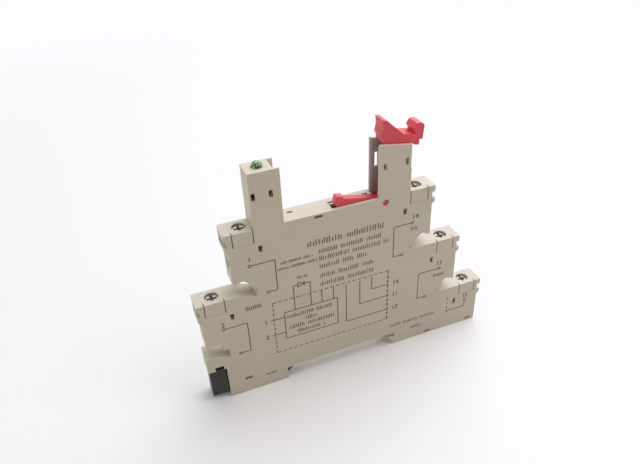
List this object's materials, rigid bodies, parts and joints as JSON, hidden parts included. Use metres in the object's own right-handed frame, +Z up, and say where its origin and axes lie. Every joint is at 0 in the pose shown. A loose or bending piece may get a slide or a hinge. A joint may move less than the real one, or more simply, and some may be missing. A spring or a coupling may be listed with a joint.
{
  "type": "slim relay socket",
  "caption": "Slim stepped relay socket that clips onto a rail, with screw clamp terminals, a lamp post, an empty relay bay and a red ejector lever.",
  "frame": {"origin": "middle of the length and thickness, on the plane of the feet", "axes": "+X along the length towards the lever post, +Y from the cover to the far wall, +Z up from the rail to the posts"},
  "size_m": [0.0886, 0.0062, 0.0761],
  "materials": {
    "housing": "matt moulded beige",
    "lever_red": "satin moulded red",
    "spring_steel": "bare spring steel",
    "clip_black": "matt moulded black",
    "board_green": "solder resist",
    "epoxy_black": "moulded epoxy",
    "chip_black": "glazed, tinned ends",
    "capacitor_sleeve": "shrunk sleeve",
    "varistor_blue": "dipped coating",
    "lamp_green": "diffused lens",
    "tinned_wire": "tinned",
    "contact_brass": "bright strip",
    "screw_steel": "zinc plated",
    "cage_steel": "zinc plated"
  },
  "bodies": {
    "housing": {"housing_tray": "housing", "housing_cover": "housing", "lever_leaf": "spring_steel", "circuit_board": "board_green", "bridge_rectifier": "epoxy_black", "dropper_resistors": "chip_black", "smoothing_capacitor": "capacitor_sleeve", "flyback_diode": "epoxy_black", "surge_suppressor": "varistor_blue", "lamp_resistor": "chip_black", "led_lens": "lamp_green", "led_leads": "tinned_wire", "coil_contact_left": "contact_brass", "coil_contact_right": "contact_brass", "busbar_a1": "contact_brass", "busbar_a2": "contact_brass", "busbar_14": "contact_brass", "busbar_11": "contact_brass", "busbar_12": "contact_brass"},
    "lever": {"ejector_lever": "lever_red"},
    "clip": {"rail_clip": "clip_black"},
    "screw_a1": {"screw_a1": "screw_steel"},
    "cage_a1": {"cage_a1": "cage_steel"},
    "screw_a2": {"screw_a2": "screw_steel"},
    "cage_a2": {"cage_a2": "cage_steel"},
    "screw_14": {"screw_14": "screw_steel"},
    "cage_14": {"cage_14": "cage_steel"},
    "screw_11": {"screw_11": "screw_steel"},
    "cage_11": {"cage_11": "cage_steel"},
    "screw_12": {"screw_12": "screw_steel"},
    "cage_12": {"cage_12": "cage_steel"}
  },
  "joints": [
    {"name": "lever_pivot", "type": "hinge", "parent": "housing", "child": "lever", "pos_m": [0.0098, 0, 0.053], "axis": [0, 1, 0], "range_deg": [-12, 5]},
    {"name": "clip_slide", "type": "slide", "parent": "housing", "child": "clip", "axis": [-1, 0, 0], "range_m": [0, 0.0022]},
    {"name": "cage_a1_rise", "type": "slide", "parent": "housing", "child": "cage_a1", "axis": [0, 0, 1], "range_m": [0, 0.0022]},
    {"name": "screw_a1_turn", "type": "hinge", "parent": "housing", "child": "screw_a1", "pos_m": [-0.0297, 0, 0.0547], "axis": [0, 0, -1], "range_deg": [0, 1585]},
    {"name": "cage_a2_rise", "type": "slide", "parent": "housing", "child": "cage_a2", "axis": [0, 0, 1], "range_m": [0, 0.0022]},
    {"name": "screw_a2_turn", "type": "hinge", "parent": "housing", "child": "screw_a2", "pos_m": [-0.0394, 0, 0.0354], "axis": [0, 0, -1], "range_deg": [0, 1585]},
    {"name": "cage_14_rise", "type": "slide", "parent": "housing", "child": "cage_14", "axis": [0, 0, 1], "range_m": [0, 0.0022]},
    {"name": "screw_14_turn", "type": "hinge", "parent": "housing", "child": "screw_14", "pos_m": [0.02, 0, 0.0547], "axis": [0, 0, -1], "range_deg": [0, 1585]},
    {"name": "cage_11_rise", "type": "slide", "parent": "housing", "child": "cage_11", "axis": [0, 0, 1], "range_m": [0, 0.0022]},
    {"name": "screw_11_turn", "type": "hinge", "parent": "housing", "child": "screw_11", "pos_m": [0.0297, 0, 0.0354], "axis": [0, 0, -1], "range_deg": [0, 1585]},
    {"name": "cage_12_rise", "type": "slide", "parent": "housing", "child": "cage_12", "axis": [0, 0, 1], "range_m": [0, 0.0022]},
    {"name": "screw_12_turn", "type": "hinge", "parent": "housing", "child": "screw_12", "pos_m": [0.0394, 0, 0.0161], "axis": [0, 0, -1], "range_deg": [0, 1585]}
  ],
  "couplings": [
    {"joint": "screw_a1_turn", "follows": "cage_a1_rise", "rad_per_m": 12566},
    {"joint": "screw_a2_turn", "follows": "cage_a2_rise", "rad_per_m": 12566},
    {"joint": "screw_14_turn", "follows": "cage_14_rise", "rad_per_m": 12566},
    {"joint": "screw_11_turn", "follows": "cage_11_rise", "rad_per_m": 12566},
    {"joint": "screw_12_turn", "follows": "cage_12_rise", "rad_per_m": 12566}
  ]
}
